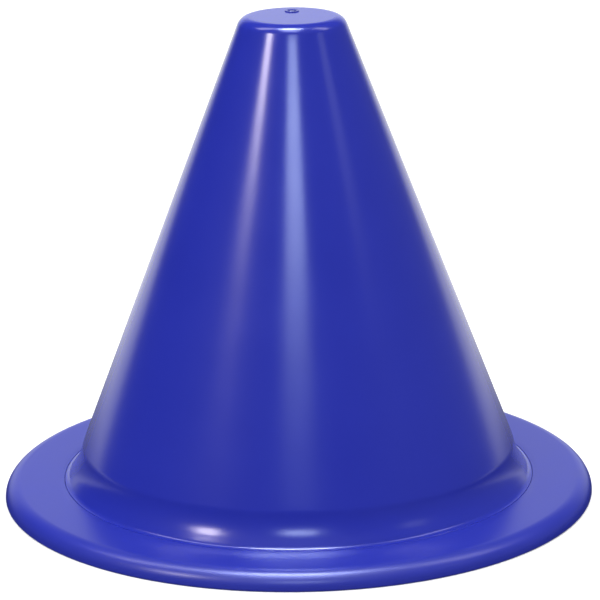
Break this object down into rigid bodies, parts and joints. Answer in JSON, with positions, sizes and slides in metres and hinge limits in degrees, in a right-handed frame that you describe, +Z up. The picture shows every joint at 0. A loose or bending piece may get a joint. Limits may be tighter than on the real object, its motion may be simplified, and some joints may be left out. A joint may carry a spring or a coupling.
{
  "type": "sports marker cone",
  "caption": "Hollow tapered marker cone with a flat top on a round, rolled-rim, ballasted base that stands on the floor and nests in a stack.",
  "frame": {"origin": "centre of the round base, on the floor that the rim stands on", "axes": "+Z up along the cone's axis, towards its flat top disc; the picture looks along +Y"},
  "size_m": [0.278, 0.278, 0.2284],
  "materials": {
    "body_plastic": "glossy soft-touch blue vinyl moulding with a faint mould waviness",
    "skirt_plastic": "glossy blue vinyl moulding",
    "ballast_rubber": "matt charcoal recycled rubber with fine crumb texture",
    "plug_plastic": "glossy darker blue plastic"
  },
  "bodies": {
    "root": {"cone_body": "body_plastic", "base_skirt": "skirt_plastic", "ballast_ring": "ballast_rubber", "vent_plug": "plug_plastic"}
  },
  "joints": []
}
